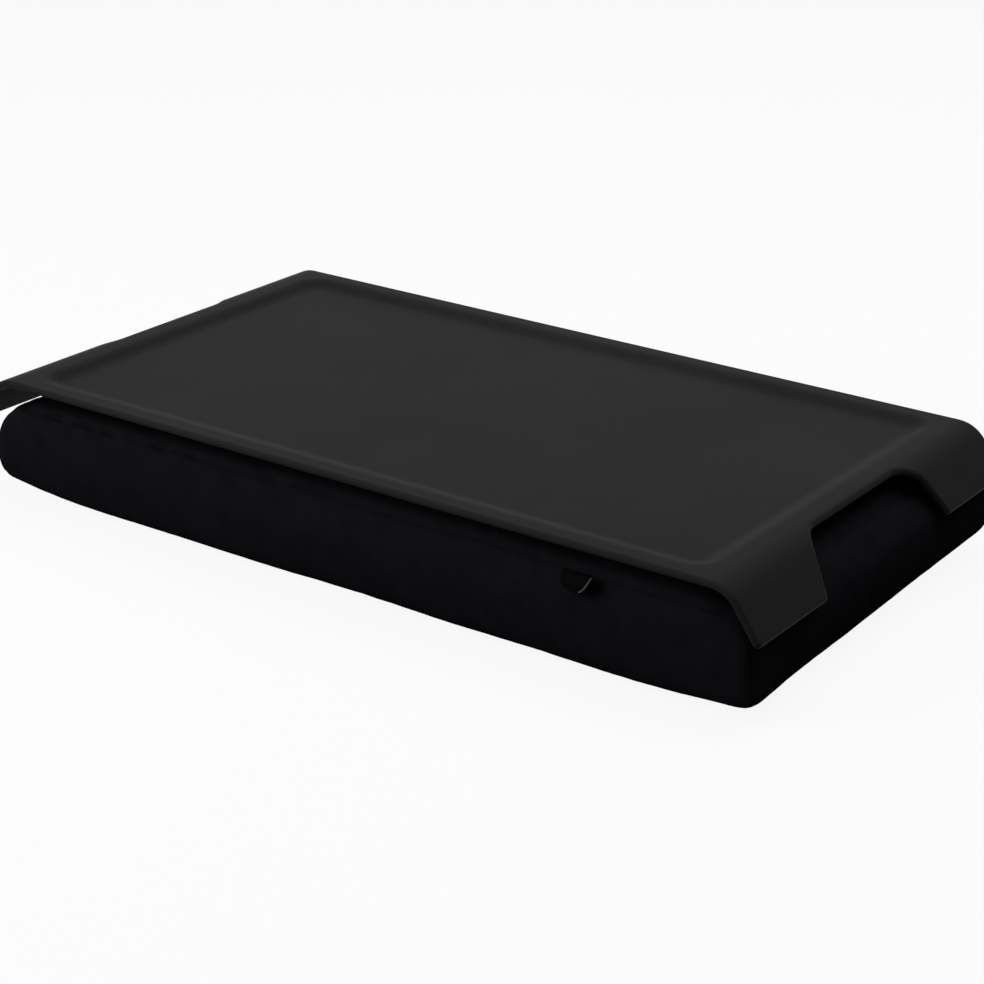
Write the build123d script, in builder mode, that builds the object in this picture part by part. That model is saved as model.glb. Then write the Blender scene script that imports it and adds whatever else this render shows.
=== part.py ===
from build123d import *
import os
from math import atan, cos, degrees, radians, sin

# Lap tray with cushion: a moulded tray with turned-down ends and a hand hold in each,
# held by hook-and-loop pads on a bead-filled cushion whose cover zips open at the back.
# Millimetres, +Z up, +X along the tray, -Y towards the side with the sewn label.
# The origin is on the floor, under the middle of the tray.

# Whole object
tray_length = 430.0  # over both turned-down ends
tray_depth = 230.0
tray_height = 60.0  # floor to the flat land round the recess
clearance = 0.3  # running gap between pieces that must not touch
overrun = 5.0  # how far a cutting shape runs past what it cuts

# Tray sheet and its turned-down ends
sheet = 3.0
edge_round = 2.0  # along the outer face
edge_bevel = 0.6  # along the inner face
bend_radius = 16.8  # outer face
skirt_angle = 54.7  # fall of the turned-down end, in degrees
skirt_length = 18.6  # straight part below the bend
skirt_corner = 2.6

# Recess in the tray
front_land = 8.1  # edge of the tray to the crest of the recess, front and back
end_land = 4.9  # start of the bend to the crest of the recess
recess_depth = 2.75
recess_corner = 14.5  # plan radius at the crest
cove_width = 11.5  # the S-shaped wall from crest to floor

# Hand hold in each end, measured up the slope of the end
hold_mouth = 114.0
hold_roof = 94.0
hold_height = 27.5
hold_corner = 17.0

# Hook-and-loop pads between the tray and the cushion
pad_length = 100.0
pad_width = 20.0
pad_corner = 4.0
hook_thickness = 1.6
loop_thickness = 1.2
pad_setback_x = 80.6  # middle of a pad to the crest of the recess
pad_setback_y = 48.9

# Cushion
right_tuck = 2.2  # cushion's right end inside the tray's outer edge
left_tuck = 10.5
belly_overhang = 1.0  # cushion's front and back past the tray's edge
side_pull = 1.0  # how far each side draws in between its corners
cushion_corner = 7.0
corner_growth = 30.0  # extra corner radius where the form rounds over
side_roll = 50.0  # reach of the round-over from the front and back
end_roll = 70.0  # reach of the round-over from the ends
belly_cut = 0.5  # the belly is pressed flat on the floor by this much
fabric = 1.2
bag_wall = 0.6
bag_corner = 22.0  # plan radius of the inner bag, clear of the cover's rounder corners at the floor

# Form of the cushion from the floor up. Each level is a share of the height, then shares
# of the side roll, the end roll and the corner growth.
base_seam_share = 0.1297
top_seam_share = 0.9003
form_level_shares = [
    (0.0, 0.8, 0.857, 0.75),
    (0.0484, 0.33, 0.471, 0.75),
    (0.091, 0.16, 0.314, 0.75),
    (base_seam_share, 0.06, 0.186, 0.75),
    (0.23, 0.017, 0.03, 0.1),
    (0.5324, 0.0, 0.0, 0.1),
    (0.74, 0.0125, 0.03, 0.1),
    (top_seam_share, 0.064, 0.143, 0.1),
    (0.96, 0.14, 0.231, 0.1),
    (0.993, 0.3, 0.4, 0.1),
    (1.0, 0.45, 0.56, 0.1),
]

# Zip in the back of the cover
zip_length = 280.0
zip_height_share = 0.5324
zip_end_margin = 20.0  # zip's end to the seam that closes the zipped panel
zip_slot = 11.0  # opening between the two folded fabric edges
tape_width = 8.0
tape_thickness = 0.6
tape_sink = 0.8  # tape's outer face below the fabric's inner face
tape_gap = 0.8
coil_width = 2.3
coil_height = 1.5
slider_length = 11.0
slider_width = 7.6
slider_wall = 1.1
slider_flange = 0.9
slider_end_gap = 4.0
bridge_width = 1.6
bridge_bar = 1.0
pull_pin = 1.1  # diameter of the pull's cross bar, and thickness of its tab
pull_width = 5.6
pull_length = 19.0
pull_eye_width = 2.6

# Label sewn into the front seam
label_centre_x = 131.0
label_width = 17.0
label_drop = 8.4
label_thickness = 1.0
label_corner = 3.0
label_stand_off = 0.6  # label's fold in front of the cushion
label_swing = 1.5  # how far the lower end swings out
label_root_share = 0.064  # share of the side roll where the front seam runs

# Sizes that follow from the ones above
tray_half_length = tray_length / 2
tray_half_depth = tray_depth / 2
bend_start = (
    tray_half_length
    - bend_radius * sin(radians(skirt_angle))
    - skirt_length * cos(radians(skirt_angle))
)
skirt_bottom = (
    tray_height
    - bend_radius * (1 - cos(radians(skirt_angle)))
    - skirt_length * sin(radians(skirt_angle))
)
crest_half_length = bend_start - end_land
crest_half_depth = tray_half_depth - front_land
pad_x = crest_half_length - pad_setback_x
pad_y = crest_half_depth - pad_setback_y
cove_angle = degrees(2 * atan(recess_depth / cove_width))
cove_radius = cove_width / 2 / sin(radians(cove_angle))
recess_floor = tray_height - recess_depth
recess_underside = recess_floor - sheet
hook_face = recess_underside - hook_thickness
loop_face = hook_face - clearance
cushion_height = loop_face - loop_thickness
cushion_length = tray_length - right_tuck - left_tuck
cushion_half_length = cushion_length / 2
cushion_half_depth = tray_half_depth + belly_overhang
cushion_centre_x = (left_tuck - right_tuck) / 2
form_height = cushion_height + belly_cut
top_seam_height = top_seam_share * form_height - belly_cut
base_seam_height = base_seam_share * form_height - belly_cut
bag_gap = fabric + clearance
bag_inset = fabric + side_pull + tape_sink + tape_thickness + clearance
fill_gap = bag_gap + bag_wall + clearance
fill_inset = bag_inset + bag_wall + clearance
zip_level = zip_height_share * form_height - belly_cut
zip_panel_length = zip_length + 2 * zip_end_margin
tape_face = cushion_half_depth - side_pull - fabric - tape_sink
coil_face = tape_face + coil_height
slider_face = coil_face + clearance + slider_wall
pin_radius = pull_pin / 2
pivot_y = slider_face + pin_radius + clearance
bridge_window = pull_pin + 2 * clearance
bridge_top = slider_face + bridge_window + bridge_bar
bridge_length = bridge_window + 2 * bridge_bar
slider_rest_x = cushion_centre_x + zip_length / 2 - slider_end_gap - slider_length / 2

os.makedirs("parts", exist_ok=True)


def save(builder, label):
    """Name a finished piece and write it out."""
    builder.part.label = label
    export_step(builder.part, "parts/" + label + ".step")


def recess(level, crest_radius, floor_radius, lid):
    """Rounded pocket whose wall is an S: one arc leaves the land, a second meets the floor.

    The lid is how far the shape goes on above its level.
    """
    lap = recess_corner - cove_width - edge_round
    corner_x = crest_half_length - recess_corner
    corner_y = crest_half_depth - recess_corner
    with BuildPart() as pocket:
        with BuildLine(Plane.XY.offset(level)) as crest:
            front = Line((-corner_x, -crest_half_depth), (corner_x, -crest_half_depth))
            JernArc(front @ 1, (1, 0), recess_corner, 90)
            right = Line((crest_half_length, -corner_y), (crest_half_length, corner_y))
            JernArc(right @ 1, (0, 1), recess_corner, 90)
            back = Line((corner_x, crest_half_depth), (-corner_x, crest_half_depth))
            JernArc(back @ 1, (-1, 0), recess_corner, 90)
            left = Line((-crest_half_length, corner_y), (-crest_half_length, -corner_y))
            JernArc(left @ 1, (0, -1), recess_corner, 90)
        with BuildSketch(Plane((-corner_x, -crest_half_depth, level), x_dir=(0, 1, 0), z_dir=(1, 0, 0))):
            with BuildLine():
                over = JernArc((0, 0), (1, 0), crest_radius, -cove_angle)
                under = JernArc(over @ 1, over % 1, floor_radius, cove_angle)
                floor = Line(under @ 1, under @ 1 + Vector(lap, 0))
                Polyline(floor @ 1, ((floor @ 1).X, lid), (0, lid), (0, 0))
            make_face()
        sweep(path=crest.wires()[0])
        with BuildSketch(Plane.XY.offset(level - recess_depth)):
            RectangleRounded(
                2 * (crest_half_length - cove_width),
                2 * (crest_half_depth - cove_width),
                recess_corner - cove_width,
            )
        extrude(amount=recess_depth + lid)
    return pocket.part


def skirt_inset(height):
    """How far the inner face of a turned-down end is inside the tray's outer edge."""
    centre = tray_height - bend_radius
    inner_radius = bend_radius - sheet
    if height < centre + inner_radius * cos(radians(skirt_angle)):
        foot = skirt_bottom - sheet * cos(radians(skirt_angle))
        rise = max(height - foot, 0)
        return sheet * sin(radians(skirt_angle)) + rise / sin(radians(skirt_angle)) * cos(radians(skirt_angle))
    rise = min(height - centre, inner_radius)
    return tray_half_length - bend_start - (inner_radius**2 - rise**2) ** 0.5


def form_section(shares, inset, top_gap, base_gap):
    """Level, half length, half depth and corner radius of the cushion at one of its levels."""
    height_share, side_share, end_share, corner_share = shares
    own_height = height_share * form_height - belly_cut
    level = base_gap + own_height * (cushion_height - top_gap - base_gap) / cushion_height
    end_inset = end_share * end_roll
    if own_height > base_seam_height:
        end_inset = max(end_inset, skirt_inset(own_height) - right_tuck + clearance)
    half_length = cushion_half_length - end_inset - inset
    half_depth = cushion_half_depth - side_share * side_roll - inset
    return level, half_length, half_depth, cushion_corner + corner_share * corner_growth - inset


def cover_form(inset):
    """The cover's form, drawn in all round by its inset: one loft through its levels."""
    with BuildPart() as form:
        for shares in form_level_shares:
            level, half_length, half_depth, corner = form_section(shares, inset, inset, inset)
            left = cushion_centre_x - half_length
            right = cushion_centre_x + half_length
            corner_y = half_depth - corner
            with BuildSketch(Plane.XY.offset(level)):
                with BuildLine():
                    SagittaArc((left + corner, -half_depth), (right - corner, -half_depth), side_pull)
                    JernArc((right - corner, -half_depth), (1, 0), corner, 90)
                    SagittaArc((right, -corner_y), (right, corner_y), side_pull)
                    JernArc((right, corner_y), (0, 1), corner, 90)
                    SagittaArc((right - corner, half_depth), (left + corner, half_depth), side_pull)
                    JernArc((left + corner, half_depth), (-1, 0), corner, 90)
                    SagittaArc((left, corner_y), (left, -corner_y), side_pull)
                    JernArc((left, -corner_y), (0, -1), corner, 90)
                make_face()
        loft(ruled=True)
    return form.part


def filling_form(inset, gap):
    """The form of what the cover holds: straight sides, and one corner radius at all its levels."""
    with BuildPart() as form:
        for shares in form_level_shares[::2]:
            level, half_length, half_depth = form_section(shares, inset, gap, gap)[:3]
            with BuildSketch(Plane.XY.offset(level)):
                with Locations((cushion_centre_x, 0)):
                    RectangleRounded(2 * half_length, 2 * half_depth, bag_corner + bag_inset - inset)
        loft(ruled=True)
    return form.part


# Tray: one moulded sheet, bent down at both ends
recess_above = recess(tray_height, cove_radius, cove_radius, overrun)
recess_below = recess(tray_height - sheet, cove_radius - sheet, cove_radius + sheet, sheet / 2)
with BuildPart() as tray_shell:
    with BuildSketch(Plane.XZ):
        with BuildLine():
            land = Line((0, tray_height), (bend_start, tray_height))
            bend = JernArc(land @ 1, (1, 0), bend_radius, -skirt_angle)
            skirt = Line(bend @ 1, bend @ 1 + skirt_length * (bend % 1))
            inner_land = Line((0, tray_height - sheet), (bend_start, tray_height - sheet))
            inner_bend = JernArc(inner_land @ 1, (1, 0), bend_radius - sheet, -skirt_angle)
            inner_skirt = Line(inner_bend @ 1, inner_bend @ 1 + skirt_length * (inner_bend % 1))
            Line(skirt @ 1, inner_skirt @ 1)
            Line(inner_land @ 0, land @ 0)
        make_face()
        mirror(about=Plane.YZ)
    extrude(amount=tray_half_depth, both=True)
    add(recess_below)
    add(recess_above, mode=Mode.SUBTRACT)
    for side in (1, -1):
        slope_out = (side * sin(radians(skirt_angle)), 0, cos(radians(skirt_angle)))
        slope = Plane(
            origin=(side * tray_half_length, 0, skirt_bottom),
            x_dir=(0, side, 0),
            z_dir=slope_out,
        )
        with BuildSketch(slope) as hold:
            with BuildLine():
                Polyline(
                    (-hold_mouth / 2, 0),
                    (-hold_roof / 2, hold_height),
                    (hold_roof / 2, hold_height),
                    (hold_mouth / 2, 0),
                    (hold_mouth / 2, -overrun),
                    (-hold_mouth / 2, -overrun),
                    close=True,
                )
            make_face()
            fillet(hold.vertices().group_by(Axis.Y)[-1], hold_corner)
        extrude(amount=2 * sheet + overrun, both=True, mode=Mode.SUBTRACT)
        fillet(tray_shell.edges().filter_by(Axis((0, 0, 0), slope_out)), skirt_corner)
    inner_edges = tray_shell.edges().filter_by_position(Axis.Z, tray_height - sheet, tray_height - sheet)
    chamfer(inner_edges.group_by(Axis.Y)[0] + inner_edges.group_by(Axis.Y)[-1], edge_bevel)
    outer_edges = tray_shell.edges().filter_by_position(Axis.Z, tray_height, tray_height)
    fillet(outer_edges.group_by(Axis.Y)[0] + outer_edges.group_by(Axis.Y)[-1], edge_round)
save(tray_shell, "tray_shell")

# Hook pads under the recess and loop pads on the cushion, one pair near each corner
for row, row_side in (("front", -1), ("back", 1)):
    for column, column_side in (("left", -1), ("right", 1)):
        for kind, low_face, thickness in (
            ("hook", hook_face, hook_thickness),
            ("loop", cushion_height, loop_thickness),
        ):
            with BuildPart() as pad:
                with BuildSketch(Plane.XY.offset(low_face)):
                    with Locations((column_side * pad_x, row_side * pad_y)):
                        RectangleRounded(pad_length, pad_width, pad_corner)
                extrude(amount=thickness)
            save(pad, kind + "_pad_" + row + "_" + column)

# Cover fabric of the cushion, before it is parted at its seams
outer_form = cover_form(0)
lining_form = cover_form(fabric)
with BuildPart() as cover:
    add(outer_form)
    add(lining_form, mode=Mode.SUBTRACT)
    split(bisect_by=Plane.XY, keep=Keep.TOP)

with BuildPart() as cover_top_panel:
    add(cover.part)
    split(bisect_by=Plane.XY.offset(top_seam_height), keep=Keep.TOP)
save(cover_top_panel, "cover_top_panel")

with BuildPart() as cover_bottom_panel:
    add(cover.part)
    split(bisect_by=Plane.XY.offset(base_seam_height), keep=Keep.BOTTOM)
save(cover_bottom_panel, "cover_bottom_panel")

# The wall of the cover: one strip round the front and both ends, and a zipped panel behind
with BuildPart() as cover_wall:
    add(cover.part)
    split(bisect_by=Plane.XY.offset(top_seam_height), keep=Keep.BOTTOM)
    split(bisect_by=Plane.XY.offset(base_seam_height), keep=Keep.TOP)

with BuildPart() as side_band:
    add(cover_wall.part)
    with Locations((cushion_centre_x, cushion_half_depth, 0)):
        Box(
            zip_panel_length,
            cushion_half_depth,
            2 * tray_height,
            mode=Mode.SUBTRACT,
        )
save(side_band, "side_band")

for name, side in (("zip_band_upper", 1), ("zip_band_lower", -1)):
    with BuildPart() as zip_band:
        add(cover_wall.part)
        with Locations((cushion_centre_x, cushion_half_depth, zip_level + side * (zip_slot + tray_height) / 2)):
            Box(zip_panel_length, cushion_half_depth, tray_height, mode=Mode.INTERSECT)
    save(zip_band, name)

# Zip: two tapes, each with its coil, behind the folded edges of the zipped panel
for name, side in (("upper", 1), ("lower", -1)):
    with BuildPart() as zip_tape:
        with Locations(
            (
                cushion_centre_x,
                tape_face - tape_thickness / 2,
                zip_level + side * (tape_gap + tape_width) / 2,
            )
        ):
            Box(zip_length + zip_end_margin, tape_thickness, tape_width)
    save(zip_tape, "zip_tape_" + name)
    with BuildPart() as zip_coil:
        with Locations(
            (
                cushion_centre_x,
                tape_face + coil_height / 2,
                zip_level + side * (coil_width + clearance) / 2,
            )
        ):
            Box(zip_length, coil_height, coil_width)
        fillet(
            zip_coil.edges().filter_by(Axis.X).group_by(Axis.Y)[-1],
            coil_height / 4,
        )
    save(zip_coil, "zip_coil_" + name)

# Slider: a plate over the coils, a flange each side of them and a bridge for the pull
with BuildPart() as zip_slider:
    with BuildSketch(Plane.XZ.offset(-slider_face)):
        with Locations((slider_rest_x, zip_level)):
            RectangleRounded(slider_length, slider_width, slider_wall)
    extrude(amount=slider_wall)
    with BuildSketch(Plane.XZ.offset(-slider_face)):
        with Locations((slider_rest_x, zip_level)):
            with GridLocations(0, slider_width - slider_flange, 1, 2):
                Rectangle(slider_length - 2 * slider_wall, slider_flange)
    extrude(amount=slider_wall + coil_height)
    with BuildSketch(Plane.XY.offset(zip_level)):
        with Locations((slider_rest_x, (slider_face + bridge_top) / 2)):
            Rectangle(bridge_length, bridge_top - slider_face)
        with Locations((slider_rest_x, pivot_y)):
            Rectangle(bridge_window, bridge_window, mode=Mode.SUBTRACT)
    extrude(amount=bridge_width / 2, both=True)
save(zip_slider, "zip_slider")

# Pull: a flat tab whose cross bar turns in the slider's bridge
eye_reach = ((bridge_length / 2) ** 2 + (bridge_top - pivot_y) ** 2) ** 0.5 + clearance
with BuildPart() as zip_pull:
    with BuildSketch(Plane.XZ.offset(-pivot_y - pin_radius)):
        with Locations((slider_rest_x - pull_length / 2, zip_level)):
            RectangleRounded(pull_length, pull_width, pull_pin)
        with Locations((slider_rest_x - eye_reach / 2, zip_level)):
            Rectangle(eye_reach, pull_eye_width, mode=Mode.SUBTRACT)
    extrude(amount=pull_pin)
    with Locations(Plane(origin=(slider_rest_x, pivot_y, zip_level), z_dir=(0, 0, 1))):
        Cylinder(pin_radius, pull_width)
save(zip_pull, "zip_pull")

# Inner bag and its filling of beads
bag_form = filling_form(bag_inset, bag_gap)
bag_hollow = filling_form(bag_inset + bag_wall, bag_gap + bag_wall)
with BuildPart() as inner_bag:
    add(bag_form)
    add(bag_hollow, mode=Mode.SUBTRACT)
save(inner_bag, "inner_bag")

fill_form = filling_form(fill_inset, fill_gap)
with BuildPart() as bead_fill:
    add(fill_form)
save(bead_fill, "bead_fill")

# Label: a folded loop of tape that leaves the front seam and hangs down
label_root_y = -(cushion_half_depth - label_root_share * side_roll + clearance)
label_fold_y = -(cushion_half_depth + label_stand_off)
with BuildPart() as label_loop:
    with BuildSketch(Plane.YZ.offset(label_centre_x)):
        with BuildLine():
            Polyline(
                (label_root_y, top_seam_height),
                (label_fold_y, top_seam_height),
                (label_fold_y - label_swing, top_seam_height - label_drop),
            )
        trace(line_width=label_thickness)
    extrude(amount=label_width / 2, both=True)
    fillet(label_loop.edges().group_by(SortBy.LENGTH)[0].sort_by(Axis.Z)[:2], label_corner)
save(label_loop, "label_loop")
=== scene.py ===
from math import cos, exp, pi, radians, sin

import bmesh
import bpy
from mathutils import Matrix, Vector, noise


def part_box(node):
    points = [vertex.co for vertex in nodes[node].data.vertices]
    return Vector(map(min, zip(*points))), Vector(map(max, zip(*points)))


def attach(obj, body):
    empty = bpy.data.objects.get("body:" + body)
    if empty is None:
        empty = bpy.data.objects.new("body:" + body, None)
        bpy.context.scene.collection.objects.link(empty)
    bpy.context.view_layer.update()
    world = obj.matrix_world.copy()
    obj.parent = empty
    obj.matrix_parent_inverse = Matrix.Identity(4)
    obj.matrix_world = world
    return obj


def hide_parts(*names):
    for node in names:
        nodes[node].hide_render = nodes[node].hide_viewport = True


# Lap tray on a filled cushion. Metres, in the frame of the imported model.
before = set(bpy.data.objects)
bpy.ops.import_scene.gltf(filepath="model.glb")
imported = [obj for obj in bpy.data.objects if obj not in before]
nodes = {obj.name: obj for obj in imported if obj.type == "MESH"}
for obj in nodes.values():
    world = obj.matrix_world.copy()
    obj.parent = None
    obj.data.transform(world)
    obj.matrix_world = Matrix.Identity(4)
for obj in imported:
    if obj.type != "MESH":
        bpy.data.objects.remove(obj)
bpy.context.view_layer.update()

mm = 0.001

# Mesh work
join_distance = 0.002 * mm  # corners nearer to each other than this become one
cut_snap = 0.02 * mm  # a cut goes through a corner that is nearer to it than this
flat_angle = radians(3)
edge_angle = radians(35)
looks_up = 0.7  # a face whose normal has more Z than this gets its cloth laid flat

# Camera, at the photograph's viewing angle
camera_place = Vector((0.6140, -0.8793, 0.4485))
camera_yaw = radians(-34.58)
camera_pitch = radians(22.07)
camera_roll = radians(1.02)
camera_lens = 89.3
camera_sensor = 36.0

# Softboxes, which all look at the middle of the floor: name, place, side and watts
softboxes = (
    ("overhead", (0.3, 0.5, 1.5), 1.4, 14.2),
    ("front", (-1.1, -1.2, 0.9), 1.2, 20.5),
)
floor_half_side = 4.0
floor_drop = 0.2 * mm  # keeps the floor just under the cushion's flat base
floor_glow = 0.91
world_light = 0.12

# Cushion
cushion_nodes = (
    "cover_top_panel",
    "cover_bottom_panel",
    "side_band",
    "zip_band_upper",
    "zip_band_lower",
)
cushion_left = -206.5 * mm
cushion_right = 212.8 * mm
cushion_half_depth = 116.0 * mm
cushion_cuts = (60, 34)  # along X and along Y
start_inset = 1.0 * mm  # how much smaller the cover is before it is blown up
bag_inset = 5.2 * mm
beads_inset = 6.2 * mm
voxel = 4.0 * mm
inflate_steps = 20
inflate_pressure = 0.3
swell_cap = 2.4 * mm
side_pull = 1.2 * mm  # how far each side draws in between its corners
side_pull_from = 0.75  # share of the way out at which that begins

# Profile of the cushion from the floor up, in mm: level, then how far the front and back,
# and the two ends, are inside the cushion's outline, and the plan radius of its corners
cushion_profile = (
    (0.0, 38.0, 50.0, 26.0),
    (1.0, 25.0, 37.0, 22.0),
    (2.4, 15.0, 25.0, 16.0),
    (4.2, 8.0, 14.0, 10.0),
    (6.2, 3.0, 6.5, 6.0),
    (8.5, 1.6, 3.6, 5.0),
    (11.5, 0.9, 2.0, 5.0),
    (15.0, 0.5, 1.0, 5.0),
    (21.0, 0.1, 0.2, 5.0),
    (27.0, 0.0, 0.5, 5.0),
    (34.0, 0.4, 1.2, 5.5),
    (38.0, 0.8, 2.9, 6.5),
    (42.0, 1.6, 6.3, 8.0),
    (46.0, 3.2, 10.2, 11.0),
    (49.1, 7.0, 16.4, 14.0),
    (50.8, 15.0, 28.0, 16.0),
    (51.15, 22.5, 39.2, 18.0),
)

# How the cushion settles on the floor: how far it sinks, and how its lower edge goes up and
# outwards near each corner: side of X, side of Y, up, outwards along X, and reach
settle_depth = 3.5 * mm
settle_levels = (7 * mm, 24 * mm)  # in full below the first, and not at all above the second
lower_corners = (
    (-1, -1, 5.6 * mm, 1.5 * mm, 34.0 * mm),
    (1, -1, 3.8 * mm, 4.6 * mm, 38.0 * mm),
    (1, 1, 4.5 * mm, 0.6 * mm, 70.0 * mm),
    (-1, 1, 4.8 * mm, 0.5 * mm, 58.0 * mm),
)

# Seams and folds of the cover. Cells are those of the noise, per metre
top_seam = 46.0 * mm
base_seam = 6.2 * mm
base_seam_share = 0.5  # its groove's depth against the top seam's
end_seam_share = 0.7  # the same for the seams at the ends of the zip's panel
seam_half = 1.3 * mm
seam_cuts = (-2, -1, 0, 1, 2)
seam_cut_step = seam_half / 1.5
seam_depth = 1.2 * mm
seam_wander = 1.1 * mm
seam_wander_cells = 22
gather_depth = 1.0 * mm
gather_half = 1.7 * mm
gather_slant = 0.25
pucker_reach = 7.0 * mm
pucker_height = 0.55 * mm
pucker_cells = (95, 95, 22)
base_pucker_share = 0.3
drag_height = 0.55 * mm
drag_cells = (16, 16, 26)
drag_slant = 30
plateau = 51.1 * mm
face_from = 100 * mm  # points further forward or back are in the front or back face

# Gathers of the top seam in the front: place along X and half-width
top_gathers = (
    (-166 * mm, 7 * mm),
    (-147 * mm, 6 * mm),
    (-133 * mm, 7 * mm),
    (-104 * mm, 9 * mm),
    (-82 * mm, 6 * mm),
    (-38 * mm, 8 * mm),
)

# Zip in the back of the cover
zip_centre_x = 4.15 * mm
zip_level = 27.0 * mm
zip_end = 148.0 * mm
panel_end = 160.0 * mm
panel_fade = 12 * mm
panel_levels = (9 * mm, 15 * mm)  # up or down: calm within the first, not past the second
panel_calm = 0.85
panel_from = 90 * mm  # points further back can be in the panel
slot_half = 5.5 * mm
slot_lip = 0.7 * mm
slot_floor = 112.2 * mm
cut_slack = 0.1 * mm
hem_width = 4.2 * mm
hem_rise = 0.35 * mm
tape_cuts = 60
tape_round = 0.12 * mm
tape_wave = 0.12 * mm
tape_wave_cells = 60
tooth_pitch = 1.6 * mm
tooth_width = 0.62 * tooth_pitch
tooth_slant = radians(8)
core_height_share = 0.35  # the cord in each coil, against the coil's own box
core_width_share = 0.4
core_shift = 0.2
core_round = 0.1 * mm
stitch_share = 0.75  # how far out on the hem its stitches run
stitch_runs = 40
ray_from = 200 * mm  # behind the cushion
back_face = 115.5 * mm  # where a stitch goes if its ray meets nothing
stitch_pitch = 3.2 * mm
stitch_length = 2.2 * mm
thread_radius = 0.22 * mm

# Label in the front seam
label_centre_x = 129.6 * mm
label_width = 14.0 * mm
label_drop = 6.8 * mm
label_round = 4.4 * mm
label_half_thickness = 0.38 * mm
tape_thickness = 0.22 * mm
label_grid = (24, 72)  # faces across the ribbon and along it
label_sway = 0.25 * mm
sway_turn = 5.0  # radians of the sway over the label's width
fold_share = 0.04  # share of the ribbon's length that the fold takes, each way from its middle
layer_share = 0.5 - fold_share  # and what each of its two layers takes
# Pale strip on the label's right edge and lower corner: a painted highlight, drawn as a thread
highlight_edge_radius = 0.35 * mm
edge_from = 0.22  # share of the way along the ribbon at which the pale strip of painted highlight begins
edge_step = 0.02
label_root = Vector((-112.8 * mm, 46.1 * mm))
label_bend = Vector((-117.6 * mm, 47.0 * mm))
label_foot = Vector((-118.0 * mm, 40.6 * mm))

# Hook-and-loop pads
pad_names = ("front_left", "front_right", "back_left", "back_right")
pad_backing = 0.7 * mm
pad_corner = 4.0 * mm
hook_pitch = 2.1 * mm
hook_foot = 0.42 * mm
hook_tip = 0.2 * mm
loop_cuts = (50, 10)
loop_face = 0.1 * mm  # points within this of the top are in the pile's face
loop_dip = 0.35 * mm
loop_cells = 900


def link(piece):
    """Put a new object in the scene."""
    bpy.context.scene.collection.objects.link(piece)
    return piece


def piece_from(bm, name):
    """Close a bmesh and make an object of it."""
    mesh = bpy.data.meshes.new(name)
    bm.to_mesh(mesh)
    bm.free()
    return link(bpy.data.objects.new(name, mesh))


def merged(node_name):
    """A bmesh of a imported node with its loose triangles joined."""
    bm = bmesh.new()
    bm.from_mesh(nodes[node_name].data)
    bmesh.ops.remove_doubles(bm, verts=bm.verts, dist=join_distance)
    return bm


def smooth(piece):
    """Shade the whole piece smooth."""
    piece.data.polygons.foreach_set("use_smooth", [True] * len(piece.data.polygons))
    piece.data.update()


def apply_modifiers(piece):
    """Turn the piece's modifiers into its mesh."""
    shape = piece.evaluated_get(bpy.context.evaluated_depsgraph_get())
    mesh = bpy.data.meshes.new_from_object(shape)
    old = piece.data
    piece.modifiers.clear()
    piece.data = mesh
    mesh.name = piece.name
    bpy.data.meshes.remove(old)


def rise(value, low, high):
    """0 below low, 1 above high and a smooth step between them."""
    share = min(max((value - low) / (high - low), 0.0), 1.0)
    return share * share * (3 - 2 * share)


def hill(distance, reach):
    """A smooth hill that is 1 at no distance and fades out past its reach."""
    return exp(-((distance / reach) ** 2))


# Materials

def shader_node(tree, kind, links=None, values=None, **settings):
    """Add a shader node with its settings, its values and its incoming links."""
    made = tree.nodes.new("ShaderNode" + kind)
    for key, value in settings.items():
        setattr(made, key, value)
    for key, value in (values or {}).items():
        made.inputs[key].default_value = value
    for key, source in (links or {}).items():
        tree.links.new(source, made.inputs[key])
    return made


def new_material(name, roughness, specular, sheen=0.0):
    """A material with an empty tree, one principled shader and its constant values."""
    material = bpy.data.materials.new(name)
    material.use_nodes = True
    tree = material.node_tree
    tree.nodes.clear()
    shader = shader_node(
        tree,
        "BsdfPrincipled",
        values={
            "Roughness": roughness,
            "Specular IOR Level": specular,
            "Sheen Weight": sheen,
            "Sheen Roughness": 0.6,
        },
    )
    shader_node(tree, "OutputMaterial", {"Surface": shader.outputs["BSDF"]})
    return material, tree, shader


def blend_colours(tree, factor, dark, light, low=0.35, high=0.65):
    """Colour that goes from dark to light as the factor goes from low to high."""
    ramp = shader_node(tree, "ValToRGB", {"Fac": factor})
    ramp.color_ramp.elements[0].position = low
    ramp.color_ramp.elements[0].color = (*dark, 1)
    ramp.color_ramp.elements[1].position = high
    ramp.color_ramp.elements[1].color = (*light, 1)
    return ramp.outputs["Color"]


def shade(colour, amount):
    """The colour made lighter or darker by an amount."""
    return tuple(channel * amount for channel in colour)


def moulded_plastic(name, colour, roughness, specular, grain_scale, grain_height):
    """Moulded plastic: a fine grain from the mould, which also varies the gloss, and slow clouds
    of colour.
    """
    material, tree, shader = new_material(name, roughness, specular)
    place = shader_node(tree, "TexCoord").outputs["Object"]
    clouds = shader_node(
        tree,
        "TexNoise",
        {"Vector": place},
        {"Scale": 14.0, "Detail": 4.0, "Roughness": 0.6},
    )
    grain = shader_node(tree, "TexNoise", {"Vector": place}, {"Scale": grain_scale, "Detail": 2.0})
    tint = blend_colours(tree, clouds.outputs["Fac"], shade(colour, 0.93), shade(colour, 1.07))
    gloss = shader_node(
        tree,
        "MapRange",
        {"Value": grain.outputs["Fac"]},
        {"From Min": 0.3, "From Max": 0.7, "To Min": roughness - 0.05, "To Max": roughness + 0.05},
    )
    bump = shader_node(
        tree,
        "Bump",
        {"Height": grain.outputs["Fac"]},
        {"Strength": 0.5, "Distance": grain_height},
    )
    tree.links.new(tint, shader.inputs["Base Color"])
    tree.links.new(gloss.outputs["Result"], shader.inputs["Roughness"])
    tree.links.new(bump.outputs["Normal"], shader.inputs["Normal"])
    return material


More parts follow.
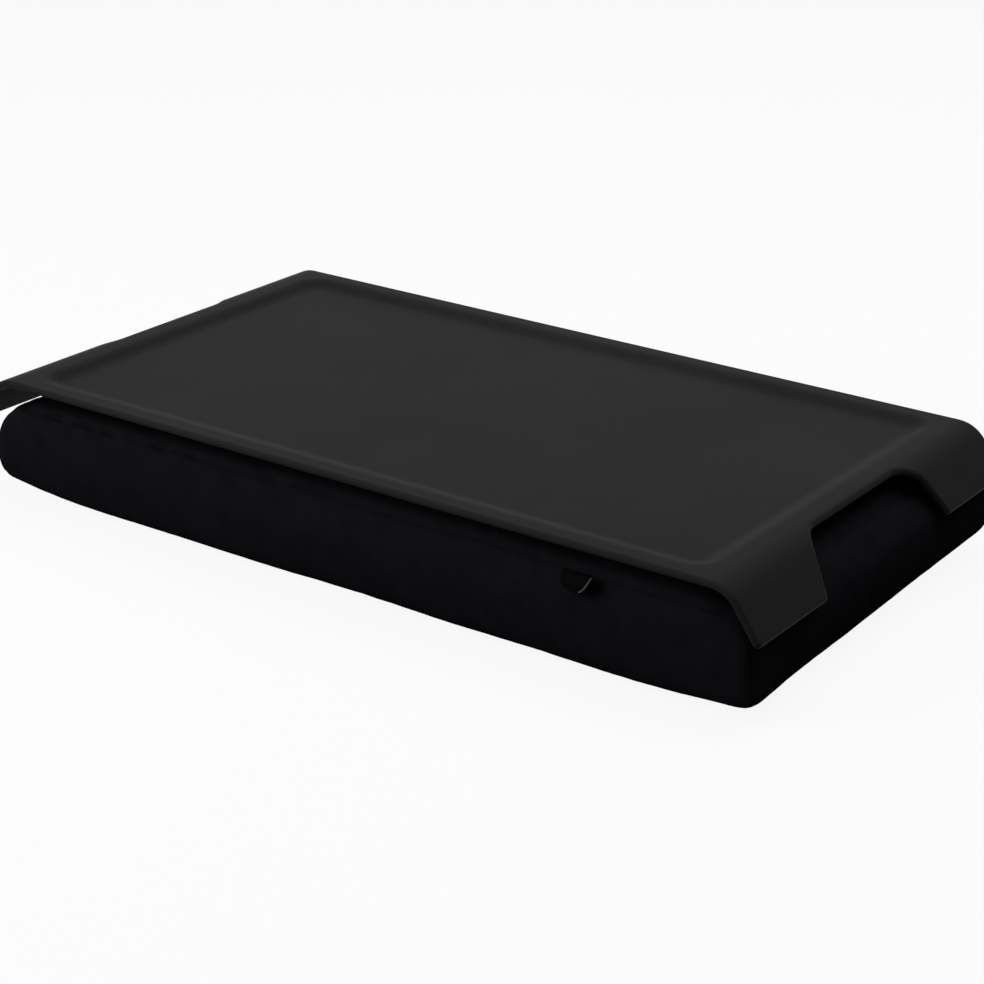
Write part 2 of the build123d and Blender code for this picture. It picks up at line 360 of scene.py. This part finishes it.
def woven_cloth(name, colour, thread_width, thread_height, roughness=0.88):
    """Plain woven cloth, its two sets of threads laid along the piece's own UV map."""
    material, tree, shader = new_material(name, roughness, 0.0)
    lay = shader_node(tree, "UVMap", uv_map="cloth").outputs["UV"]
    place = shader_node(tree, "TexCoord").outputs["Object"]
    drift = shader_node(tree, "TexNoise", {"Vector": place}, {"Scale": 90.0, "Detail": 3.0})
    wave_scale = 2 * pi / 20 / (2 * thread_width)
    threads = [
        shader_node(
            tree,
            "TexWave",
            {"Vector": lay},
            {"Scale": wave_scale, "Distortion": 0.6, "Detail": 2.0, "Detail Scale": 3.0},
            bands_direction=direction,
        ).outputs["Fac"]
        for direction in ("X", "Y")
    ]
    centred = [
        shader_node(tree, "Math", {0: thread}, {1: 0.5}, operation="SUBTRACT").outputs[0]
        for thread in threads
    ]
    weave = shader_node(
        tree,
        "Math",
        {0: centred[0], 1: centred[1]},
        operation="MULTIPLY",
    ).outputs[0]
    height = shader_node(
        tree,
        "Math",
        {0: weave},
        {1: 2.0, 2: 0.5},
        operation="MULTIPLY_ADD",
    ).outputs[0]
    mottle = shader_node(
        tree,
        "Math",
        {0: height, 1: drift.outputs["Fac"]},
        operation="MULTIPLY",
    ).outputs[0]
    tint = blend_colours(tree, mottle, shade(colour, 0.72), shade(colour, 1.28), 0.05, 0.5)
    bump = shader_node(
        tree,
        "Bump",
        {"Height": height},
        {"Strength": 0.7, "Distance": thread_height},
    )
    tree.links.new(tint, shader.inputs["Base Color"])
    tree.links.new(bump.outputs["Normal"], shader.inputs["Normal"])
    return material


def fleecy(name, colour, scale, height):
    """Matted pile, as on the soft side of hook-and-loop tape."""
    material, tree, shader = new_material(name, 0.95, 0.15, 0.2)
    place = shader_node(tree, "TexCoord").outputs["Object"]
    fibres = shader_node(
        tree,
        "TexNoise",
        {"Vector": place},
        {"Scale": scale, "Detail": 6.0, "Distortion": 2.0},
    ).outputs["Fac"]
    tint = blend_colours(tree, fibres, shade(colour, 0.5), shade(colour, 1.5))
    bump = shader_node(tree, "Bump", {"Height": fibres}, {"Strength": 0.9, "Distance": height})
    tree.links.new(tint, shader.inputs["Base Color"])
    tree.links.new(bump.outputs["Normal"], shader.inputs["Normal"])
    return material


def twisted_thread(name, colour):
    """Sewing thread, with the twist of its plies as fine slanted bands."""
    material, tree, shader = new_material(name, 0.7, 0.3, 0.1)
    place = shader_node(tree, "TexCoord").outputs["Object"]
    plies = shader_node(
        tree,
        "TexWave",
        {"Vector": place},
        {"Scale": 900.0, "Distortion": 0.8},
        bands_direction="DIAGONAL",
    ).outputs["Fac"]
    tint = blend_colours(tree, plies, shade(colour, 0.7), shade(colour, 1.2), 0.1, 0.9)
    bump = shader_node(tree, "Bump", {"Height": plies}, {"Strength": 0.5, "Distance": 0.05 * mm})
    tree.links.new(tint, shader.inputs["Base Color"])
    tree.links.new(bump.outputs["Normal"], shader.inputs["Normal"])
    return material


tray_plastic = moulded_plastic(
    "satin_black_plastic",
    (0.0188, 0.0183, 0.0183),
    roughness=0.46,
    specular=0.0105,
    grain_scale=2400.0,
    grain_height=0.03 * mm,
)
coil_plastic = moulded_plastic(
    "zip_coil_plastic",
    (0.014, 0.014, 0.016),
    roughness=0.4,
    specular=0.3,
    grain_scale=4000.0,
    grain_height=0.01 * mm,
)
slider_paint = moulded_plastic(
    "zip_slider_paint",
    (0.016, 0.016, 0.018),
    roughness=0.32,
    specular=0.5,
    grain_scale=3000.0,
    grain_height=0.01 * mm,
)
hook_plastic = moulded_plastic(
    "hook_tape_plastic",
    (0.012, 0.012, 0.013),
    roughness=0.5,
    specular=0.3,
    grain_scale=3000.0,
    grain_height=0.01 * mm,
)
beads_plastic = moulded_plastic(
    "bead_plastic",
    (0.8, 0.8, 0.8),
    roughness=0.6,
    specular=0.3,
    grain_scale=350.0,
    grain_height=0.4 * mm,
)
cover_cloth = woven_cloth("black_cover_cloth", (0.0108, 0.0105, 0.0130), 0.45 * mm, 0.12 * mm)
bag_cloth = woven_cloth("inner_bag_cloth", (0.5, 0.5, 0.49), 0.4 * mm, 0.1 * mm)
tape_cloth = woven_cloth("zip_tape_cloth", (0.006, 0.006, 0.007), 0.35 * mm, 0.1 * mm)
label_cloth = woven_cloth("label_satin", (0.0052, 0.0052, 0.0057), 0.18 * mm, 0.04 * mm, 0.6)
loop_pile = fleecy("loop_pile", (0.008, 0.008, 0.009), 2200.0, 0.3 * mm)
cover_thread = twisted_thread("black_thread", (0.008, 0.008, 0.009))
# Pale colour of the strip along the label's right edge: painted highlight
highlight_edge_paint = twisted_thread("painted_highlight_edge", (0.06, 0.06, 0.06))


def finish_piece(piece, material, body, stands_for=()):
    """Give a piece its finish and its body, and hide the imported nodes it stands for."""
    piece.data.materials.clear()
    piece.data.materials.append(material)
    if stands_for:
        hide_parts(*stands_for)
    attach(piece, body)


def lay_cloth(piece):
    """UVs in metres, laid flat on the side that each face looks to, for the threads."""
    layer = piece.data.uv_layers.new(name="cloth")
    vertices = piece.data.vertices
    flat = [0.0] * (2 * len(piece.data.loops))
    for face in piece.data.polygons:
        normal = face.normal
        if abs(normal.z) > looks_up:
            across, up = 0, 1
        elif abs(normal.y) > abs(normal.x):
            across, up = 0, 2
        else:
            across, up = 1, 2
        for corner in face.loop_indices:
            place = vertices[piece.data.loops[corner].vertex_index].co
            flat[2 * corner] = place[across]
            flat[2 * corner + 1] = place[up]
    layer.data.foreach_set("uv", flat)


# Camera, stage and light

def place_camera():
    """The photograph's camera."""
    data = bpy.data.cameras.new("photo_camera")
    data.sensor_width = camera_sensor
    data.lens = camera_lens
    data.clip_start = 0.01
    camera = link(bpy.data.objects.new("photo_camera", data))
    forward = Vector(
        (
            sin(camera_yaw) * cos(camera_pitch),
            cos(camera_yaw) * cos(camera_pitch),
            -sin(camera_pitch),
        )
    )
    level = Vector((cos(camera_yaw), -sin(camera_yaw), 0))
    upright = level.cross(forward)
    right = cos(camera_roll) * level + sin(camera_roll) * upright
    up = cos(camera_roll) * upright - sin(camera_roll) * level
    turn = Matrix((right, up, -forward)).transposed()
    camera.matrix_world = Matrix.Translation(camera_place) @ turn.to_4x4()
    bpy.context.scene.camera = camera


def shows_white(tree):
    """1 for the rays that see the white background: the camera's, mirrored and refracted ones."""
    seen = shader_node(tree, "LightPath").outputs
    either = shader_node(
        tree,
        "Math",
        {0: seen["Is Camera Ray"], 1: seen["Is Glossy Ray"]},
        operation="MAXIMUM",
    )
    return shader_node(
        tree,
        "Math",
        {0: either.outputs[0], 1: seen["Is Transmission Ray"]},
        operation="MAXIMUM",
    ).outputs[0]


def set_stage():
    """A white floor that keeps the object's shadow, and a plain white world."""
    bm = bmesh.new()
    bmesh.ops.create_grid(bm, x_segments=1, y_segments=1, size=floor_half_side)
    bmesh.ops.translate(bm, verts=bm.verts, vec=(0, 0, -floor_drop))
    floor = piece_from(bm, "floor")
    material = bpy.data.materials.new("white_floor")
    material.use_nodes = True
    tree = material.node_tree
    tree.nodes.clear()
    lit = shader_node(tree, "BsdfDiffuse", values={"Color": (0.08, 0.08, 0.08, 1)})
    glow = shader_node(tree, "Emission", values={"Color": (1, 1, 1, 1), "Strength": floor_glow})
    white = shader_node(tree, "AddShader", {0: lit.outputs[0], 1: glow.outputs[0]})
    plain = shader_node(tree, "BsdfDiffuse", values={"Color": (0.15, 0.15, 0.15, 1)})
    mix = shader_node(
        tree,
        "MixShader",
        {0: shows_white(tree), 1: plain.outputs[0], 2: white.outputs[0]},
    )
    shader_node(tree, "OutputMaterial", {"Surface": mix.outputs[0]})
    floor.data.materials.append(material)

    world = bpy.data.worlds.new("studio")
    world.use_nodes = True
    tree = world.node_tree
    tree.nodes.clear()
    strength = shader_node(
        tree,
        "MapRange",
        {"Value": shows_white(tree)},
        {"To Min": world_light, "To Max": 1.0},
    )
    background = shader_node(
        tree,
        "Background",
        {"Strength": strength.outputs["Result"]},
        {"Color": (1, 1, 1, 1)},
    )
    shader_node(tree, "OutputWorld", {"Surface": background.outputs[0]})
    bpy.context.scene.world = world


def add_softbox(name, place, side, power):
    """A large square area lamp that looks at the middle of the floor."""
    data = bpy.data.lights.new(name, "AREA")
    data.shape = "SQUARE"
    data.size = side
    data.energy = power
    lamp = link(bpy.data.objects.new(name, data))
    turn = (-Vector(place)).to_track_quat("-Z", "Y")
    lamp.matrix_world = Matrix.Translation(Vector(place)) @ turn.to_matrix().to_4x4()


place_camera()
set_stage()
for softbox in softboxes:
    add_softbox(*softbox)
bpy.context.scene.view_settings.view_transform = "Standard"


# Cushion

def inflate(piece, cap):
    """Blow the piece up by cloth simulation. No point moves further than the cap."""
    scene = bpy.context.scene
    before = [vertex.co.copy() for vertex in piece.data.vertices]
    cloth = piece.modifiers.new("inflate", "CLOTH")
    cloth.settings.quality = 5
    cloth.settings.mass = 0.3
    cloth.settings.use_pressure = True
    cloth.settings.uniform_pressure_force = inflate_pressure
    cloth.settings.effector_weights.gravity = 0
    cloth.point_cache.frame_start = 1
    cloth.point_cache.frame_end = inflate_steps
    for step in range(1, inflate_steps + 1):
        scene.frame_set(step)
    shape = piece.evaluated_get(bpy.context.evaluated_depsgraph_get())
    after = [vertex.co.copy() for vertex in shape.data.vertices]
    piece.modifiers.remove(cloth)
    scene.frame_set(1)
    for vertex, start, end in zip(piece.data.vertices, before, after):
        move = end - start
        if move.length > cap:
            move *= cap / move.length
        vertex.co = start + move


def cut(bm, place, normal):
    """Cut a loop of edges through the whole mesh."""
    bmesh.ops.bisect_plane(
        bm,
        geom=bm.verts[:] + bm.edges[:] + bm.faces[:],
        plane_co=place,
        plane_no=normal,
        dist=cut_snap,
    )


def near_zip(place):
    """1 over the zip's panel in the back, fading to 0 round it."""
    if place.y < panel_from:
        return 0.0
    along = 1 - rise(abs(place.x - zip_centre_x), panel_end, panel_end + panel_fade)
    across = 1 - rise(abs(place.z - zip_level), *panel_levels)
    return along * across


def folds(place):
    """Height of the cover's folds at a place: the seams' puckers and the pull of the filling."""
    cell = Vector([along * cells for along, cells in zip(place, pucker_cells)])
    ripple = noise.noise(cell) + 0.5 * noise.noise(2.1 * cell)
    seams = hill(place.z - top_seam, pucker_reach)
    seams += base_pucker_share * hill(place.z - base_seam, pucker_reach)
    across, deep, up = (along * cells for along, cells in zip(place, drag_cells))
    drag = noise.noise(Vector((across + place.z * drag_slant, deep, up)))
    return pucker_height * seams * ripple + drag_height * drag


def seam_grooves(place):
    """How deep the top and base seams' grooves are at a place, with the gathers in the top one."""
    cell = Vector((place.x * seam_wander_cells, place.y * seam_wander_cells, 0))
    above = place.z - top_seam - seam_wander * noise.noise(cell)
    base = base_seam_share * hill(place.z - base_seam, seam_half)
    depth = seam_depth * (hill(above, seam_half) + base)
    if place.y < -face_from:
        for middle, size in top_gathers:
            along = place.x - middle
            gather = gather_depth * hill(along, size)
            depth += gather * hill(above + gather_slant * along, gather_half)
    return depth


def dress(bm):
    """Add the seams, the folds and the zip's bed to the blown-up form."""
    for seam in (top_seam, base_seam):
        for step in seam_cuts:
            cut(bm, (0, 0, seam + step * seam_cut_step), (0, 0, 1))
    for side in (-1, 1):
        for edge in (slot_half, slot_half + slot_lip):
            cut(bm, (0, 0, zip_level + side * edge), (0, 0, 1))
        for edge in (zip_end, zip_end + slot_lip):
            cut(bm, (zip_centre_x + side * edge, 0, 0), (1, 0, 0))
        cut(bm, (zip_centre_x + side * panel_end, 0, 0), (1, 0, 0))
    bm.normal_update()
    moves = []
    for vertex in bm.verts:
        place = vertex.co
        calm = 1 - panel_calm * near_zip(place)
        height = folds(place) * calm
        height -= seam_grooves(place)
        if place.y > face_from and base_seam < place.z < top_seam:
            end_seam = abs(abs(place.x - zip_centre_x) - panel_end)
            height -= end_seam_share * seam_depth * hill(end_seam, seam_half)
        moves.append(vertex.normal * height)
    for vertex, move in zip(bm.verts, moves):
        vertex.co += move
        place = vertex.co
        along = abs(place.x - zip_centre_x)
        across = abs(place.z - zip_level)
        if place.y > face_from:
            if along < zip_end + cut_slack and across < slot_half + cut_slack:
                place.y = slot_floor
            elif along < zip_end + hem_width and across < slot_half + hem_width:
                place.y += hem_rise
        place.z = min(max(place.z, 0.0), plateau)
    bm.normal_update()


def cushion_form(inset):
    """A closed block with the cushion's profile, smaller by the inset all round."""
    bm = bmesh.new()
    bmesh.ops.create_cube(bm, size=2.0)
    rows = len(cushion_profile) - 1
    for axis, cuts in enumerate((*cushion_cuts, rows - 1)):
        along = [
            edge
            for edge in bm.edges
            if abs(edge.verts[0].co[axis] - edge.verts[1].co[axis]) > 1
        ]
        bmesh.ops.subdivide_edges(bm, edges=along, cuts=cuts, use_grid_fill=True)
    height = cushion_profile[-1][0] * mm
    middle = (cushion_left + cushion_right) / 2
    for vertex in bm.verts:
        row = round((vertex.co.z + 1) / 2 * rows)
        level, side_inset, end_inset, corner = (value * mm for value in cushion_profile[row])
        half_length = (cushion_right - cushion_left) / 2 - end_inset - inset
        half_depth = cushion_half_depth - side_inset - inset
        spread = max(abs(vertex.co.x), abs(vertex.co.y))
        place = Vector((0, 0))
        if spread > 0:
            place.x = half_length * sin(vertex.co.x / spread * pi / 2)
            place.y = half_depth * sin(vertex.co.y / spread * pi / 2)
        turn = Vector(
            (abs(place.x) - half_length + corner, abs(place.y) - half_depth + corner)
        )
        if min(turn) > 0:
            turn *= corner / turn.length
            place.x = (half_length - corner + turn.x) * (1 if place.x > 0 else -1)
            place.y = (half_depth - corner + turn.y) * (1 if place.y > 0 else -1)
        place *= spread
        up = inset + level * (height - 2 * inset) / height
        vertex.co = Vector((middle + place.x, place.y, up))
    return bm


def settle(piece):
    """Press the cushion's lower edge down on the floor, and shape it near its corners."""
    for vertex in piece.data.vertices:
        place = vertex.co
        low = 1 - rise(place.z, *settle_levels)
        if low > 0:
            move = Vector((0, 0, -settle_depth))
            for side_x, side_y, up, out, reach in lower_corners:
                end = cushion_right if side_x > 0 else cushion_left
                corner = Vector((end, side_y * cushion_half_depth))
                move += Vector((side_x * out, 0, up)) * hill((place.xy - corner).length, reach)
            place += low * move
            place.z = max(place.z, 0.0)


def draw_in_sides(piece):
    """Draw each side in between its corners, most in its middle."""
    reach = [max(abs(vertex.co[axis]) for vertex in piece.data.vertices) for axis in range(2)]
    for vertex in piece.data.vertices:
        place = vertex.co
        along = [min(abs(place[axis]) / reach[axis], 1.0) for axis in range(2)]
        for axis in range(2):
            pull = side_pull * (1 - along[1 - axis] ** 2) * rise(along[axis], side_pull_from, 1.0)
            place[axis] -= pull * (1 if place[axis] > 0 else -1)


def make_cushion():
    """The filled cover: blown up from a slightly smaller form, then seamed and folded."""
    cushion = piece_from(cushion_form(start_inset), "cushion_cover")
    remesh = cushion.modifiers.new("remesh", "REMESH")
    remesh.mode = "VOXEL"
    remesh.voxel_size = voxel
    apply_modifiers(cushion)
    inflate(cushion, swell_cap)
    draw_in_sides(cushion)
    finer = cushion.modifiers.new("finer", "SUBSURF")
    finer.levels = 1
    finer.render_levels = 1
    apply_modifiers(cushion)
    bm = bmesh.new()
    bm.from_mesh(cushion.data)
    dress(bm)
    bm.to_mesh(cushion.data)
    bm.free()
    settle(cushion)
    smooth(cushion)
    lay_cloth(cushion)
    finish_piece(cushion, cover_cloth, "cushion", cushion_nodes)


def make_filling(name, material, inset, stands_for):
    """What the cover holds: the cushion's own form, smaller by an inset."""
    filling = piece_from(cushion_form(inset), name)
    rounding = filling.modifiers.new("rounding", "SUBSURF")
    rounding.levels = 1
    rounding.render_levels = 1
    apply_modifiers(filling)
    settle(filling)
    smooth(filling)
    lay_cloth(filling)
    finish_piece(filling, material, "cushion", (stands_for,))


make_cushion()
make_filling("bag_of_beads", bag_cloth, bag_inset, "inner_bag")
make_filling("loose_beads", beads_plastic, beads_inset, "bead_fill")


# Zip

def rounded_block(bm, centre, size, round_off):
    """Add a block with rounded edges to a bmesh."""
    made = bmesh.ops.create_cube(bm, size=1.0)["verts"]
    bmesh.ops.scale(bm, vec=size, verts=made)
    bmesh.ops.translate(bm, vec=centre, verts=made)
    edges = list({edge for vertex in made for edge in vertex.link_edges})
    bmesh.ops.bevel(
        bm,
        geom=edges,
        offset=round_off,
        offset_type="OFFSET",
        segments=2,
        profile=0.5,
        affect="EDGES",
        material=-1,
    )


def make_zip_tapes():
    """The two woven tapes that carry the coils, a little wavy along their length."""
    for name in ("zip_tape_upper", "zip_tape_lower"):
        low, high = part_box(name)
        bm = bmesh.new()
        rounded_block(bm, (low + high) / 2, high - low, tape_round)
        for step in range(1, tape_cuts):
            cut(bm, (low.x + (high.x - low.x) * step / tape_cuts, 0, 0), (1, 0, 0))
        for vertex in bm.verts:
            cell = Vector((vertex.co.x * tape_wave_cells, 0, vertex.co.z * tape_wave_cells))
            vertex.co.y -= tape_wave * (1 + noise.noise(cell))
        tape = piece_from(bm, name.replace("zip_tape", "woven_tape"))
        smooth(tape)
        lay_cloth(tape)
        finish_piece(tape, tape_cloth, "cushion", (name,))


def make_zip_teeth():
    """Each coil as its row of turns, the upper row half a pitch on from the lower."""
    for name, side in (("zip_coil_upper", 1), ("zip_coil_lower", -1)):
        low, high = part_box(name)
        size = high - low
        count = int(size.x / tooth_pitch)
        bm = bmesh.new()
        middle = (low + high) / 2
        for index in range(count):
            along = low.x + tooth_pitch * (index + 0.5 + 0.25 * side)
            made = bmesh.ops.create_uvsphere(bm, u_segments=8, v_segments=5, radius=0.5)["verts"]
            shape = Matrix.Translation((along, middle.y, middle.z))
            shape @= Matrix.Rotation(side * tooth_slant, 4, "Y")
            shape @= Matrix.Diagonal((tooth_width, size.y, size.z, 1))
            bmesh.ops.transform(bm, matrix=shape, verts=made)
        core_height = core_height_share * size.y
        core_level = middle.z + side * core_shift * size.z
        core = Vector((middle.x, low.y + core_height / 2, core_level))
        rounded_block(bm, core, (size.x, core_height, core_width_share * size.z), core_round)
        coil = piece_from(bm, name.replace("zip_coil", "zip_teeth"))
        smooth(coil)
        finish_piece(coil, coil_plastic, "cushion", (name,))


def make_cast_piece(name, new_name, body, round_off):
    """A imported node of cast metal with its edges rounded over."""
    bm = merged(name)
    bmesh.ops.dissolve_limit(
        bm,
        angle_limit=flat_angle,
        use_dissolve_boundaries=False,
        verts=bm.verts,
        edges=bm.edges,
    )
    cast = piece_from(bm, new_name)
    rounding = cast.modifiers.new("rounding", "BEVEL")
    rounding.width = round_off
    rounding.segments = 2
    rounding.limit_method = "ANGLE"
    rounding.angle_limit = edge_angle
    apply_modifiers(cast)
    smooth(cast)
    finish_piece(cast, slider_paint, body, (name,))


def stitch_row(bm, start, end, normal):
    """Add a row of short stitches between two points, proud of the cloth they go through."""
    length = (end - start).length
    count = int(length / stitch_pitch)
    along = (end - start).normalized()
    turn = along.to_track_quat("Z", "Y").to_matrix().to_4x4()
    for index in range(count):
        middle = start + along * stitch_pitch * (index + 0.5) + normal * 0.5 * thread_radius
        made = bmesh.ops.create_uvsphere(bm, u_segments=6, v_segments=5, radius=1.0)["verts"]
        shape = Matrix.Translation(middle) @ turn @ Matrix.Diagonal(
            (thread_radius, thread_radius, stitch_length / 2, 1)
        )
        bmesh.ops.transform(bm, matrix=shape, verts=made)


def surface_y(cushion, x, z):
    """Where the cushion's back face is at a place."""
    hit, place = cushion.ray_cast(Vector((x, ray_from, z)), Vector((0, -1, 0)))[:2]
    return place.y if hit else back_face


def make_zip_stitches(cushion):
    """Rows of topstitching along both folded edges of the zip's panel."""
    bm = bmesh.new()
    across = slot_half + stitch_share * hem_width
    for side in (-1, 1):
        height = zip_level + side * across
        places = []
        for step in range(stitch_runs + 1):
            x = zip_centre_x - zip_end + 2 * zip_end * step / stitch_runs
            places.append(Vector((x, surface_y(cushion, x, height), height)))
        for start, end in zip(places, places[1:]):
            stitch_row(bm, start, end, Vector((0, 1, 0)))
    stitches = piece_from(bm, "zip_topstitching")
    smooth(stitches)
    finish_piece(stitches, cover_thread, "cushion")


make_zip_tapes()
make_zip_teeth()
make_cast_piece("zip_slider", "cast_slider", "zip_slider", 0.18 * mm)
make_cast_piece("zip_pull", "cast_pull", "zip_pull", 0.2 * mm)
make_zip_stitches(bpy.data.objects["cushion_cover"])


# Label

def label_centre(share):
    """The folded label's middle line at a share of the way down, its run and its outer side."""
    place = (
        (1 - share) ** 2 * label_root
        + 2 * share * (1 - share) * label_bend
        + share**2 * label_foot
    )
    run = 2 * (1 - share) * (label_bend - label_root) + 2 * share * (label_foot - label_bend)
    run.normalize()
    return place, run, Vector((run.y, -run.x))


def label_place(across, share):
    """Point of the label's ribbon at a place across it and a share of the way along it."""
    edge = max(abs(across) - (label_width / 2 - label_round), 0)
    reach = 1 - (label_round - (label_round**2 - edge**2) ** 0.5) / label_drop
    if share < layer_share:
        along, turn = share / layer_share, 0.0
    elif share > 0.5 + fold_share:
        along, turn = (1 - share) / layer_share, pi
    else:
        along, turn = 1.0, pi * (share - 0.5 + fold_share) / (2 * fold_share)
    place, run, outer = label_centre(along * reach)
    place = place + label_half_thickness * (cos(turn) * outer + sin(turn) * run)
    sway = label_sway * sin(across / label_width * sway_turn) * along
    return Vector((label_centre_x + across, place.x - sway, place.y))


def make_label():
    """Folded satin label: its front layer, the fold at its foot and its back layer."""
    bm = bmesh.new()
    columns, rows = label_grid
    bmesh.ops.create_grid(bm, x_segments=columns, y_segments=rows, size=0.5)
    for vertex in bm.verts:
        vertex.co = label_place(vertex.co.x * label_width, vertex.co.y + 0.5)
    label = piece_from(bm, "folded_label")
    wall = label.modifiers.new("wall", "SOLIDIFY")
    wall.thickness = tape_thickness
    wall.offset = 0
    apply_modifiers(label)
    smooth(label)
    lay_cloth(label)
    finish_piece(label, label_cloth, "cushion", ("label_loop",))


def make_label_highlight_edge():
    """A pale strip along the label's right side and the corner below it, where light catches its
    edge: a painted highlight, drawn as a thread.
    """
    side = label_width / 2
    line = [(side, edge_from + edge_step * step) for step in range(12)]
    line += [(side - label_round * (1 - cos(step * pi / 16)), layer_share) for step in range(8)]
    curve = bpy.data.curves.new("label_edge_painted_highlight", "CURVE")
    curve.dimensions = "3D"
    curve.bevel_depth = highlight_edge_radius
    curve.bevel_resolution = 2
    curve.use_fill_caps = True
    spline = curve.splines.new("POLY")
    spline.points.add(len(line) - 1)
    for point, (across, share) in zip(spline.points, line):
        place = label_place(across, share)
        point.co = (place.x, place.y, place.z, 1)
    drawn = link(bpy.data.objects.new("label_highlight_drawn", curve))
    shape = drawn.evaluated_get(bpy.context.evaluated_depsgraph_get())
    mesh = bpy.data.meshes.new_from_object(shape)
    bpy.data.objects.remove(drawn)
    thread = link(bpy.data.objects.new("label_edge_painted_highlight", mesh))
    smooth(thread)
    finish_piece(thread, highlight_edge_paint, "cushion")


make_label()
make_label_highlight_edge()


# Hook-and-loop pads

def pad_plate(bm, low, high):
    """Add a thin plate with rounded corners to a bmesh."""
    made = bmesh.ops.create_cube(bm, size=1.0)["verts"]
    bmesh.ops.scale(bm, vec=high - low, verts=made)
    bmesh.ops.translate(bm, vec=(low + high) / 2, verts=made)
    upright = [
        edge
        for edge in {edge for vertex in made for edge in vertex.link_edges}
        if abs(edge.verts[0].co.z - edge.verts[1].co.z) > (high.z - low.z) / 2
    ]
    bmesh.ops.bevel(
        bm,
        geom=upright,
        offset=pad_corner,
        offset_type="OFFSET",
        segments=5,
        profile=0.5,
        affect="EDGES",
        material=-1,
    )


def make_pads():
    """Hook tape under the tray, loop tape on the cushion."""
    for pad in pad_names:
        name = "hook_pad_" + pad
        low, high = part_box(name)
        bm = bmesh.new()
        pad_plate(bm, Vector((low.x, low.y, high.z - pad_backing)), high)
        columns = int((high.x - low.x - pad_corner) / hook_pitch)
        rows = int((high.y - low.y - hook_pitch) / hook_pitch)
        stem = high.z - pad_backing - low.z
        for column in range(columns):
            for row in range(rows):
                x = (low.x + high.x) / 2 + (column - (columns - 1) / 2) * hook_pitch
                y = (low.y + high.y) / 2 + (row - (rows - 1) / 2) * hook_pitch
                bmesh.ops.create_cone(
                    bm,
                    cap_ends=True,
                    segments=5,
                    radius1=hook_foot,
                    radius2=hook_tip,
                    depth=stem,
                    matrix=Matrix.Translation((x, y, low.z + stem / 2)),
                )
        hooks = piece_from(bm, "hook_tape_" + pad)
        finish_piece(hooks, hook_plastic, "tray", (name,))

        name = "loop_pad_" + pad
        low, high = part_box(name)
        bm = bmesh.new()
        pad_plate(bm, low, high)
        bmesh.ops.triangulate(bm, faces=bm.faces)
        columns, rows = loop_cuts
        for step in range(1, columns):
            cut(bm, (low.x + (high.x - low.x) * step / columns, 0, 0), (1, 0, 0))
        for step in range(1, rows):
            cut(bm, (0, low.y + (high.y - low.y) * step / rows, 0), (0, 1, 0))
        for vertex in bm.verts:
            if vertex.co.z > high.z - loop_face:
                vertex.co.z -= loop_dip * (0.5 + 0.5 * noise.noise(vertex.co * loop_cells))
        loops = piece_from(bm, "loop_tape_" + pad)
        finish_piece(loops, loop_pile, "cushion", (name,))


make_pads()


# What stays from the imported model
nodes["tray_shell"].data.materials.clear()
nodes["tray_shell"].data.materials.append(tray_plastic)
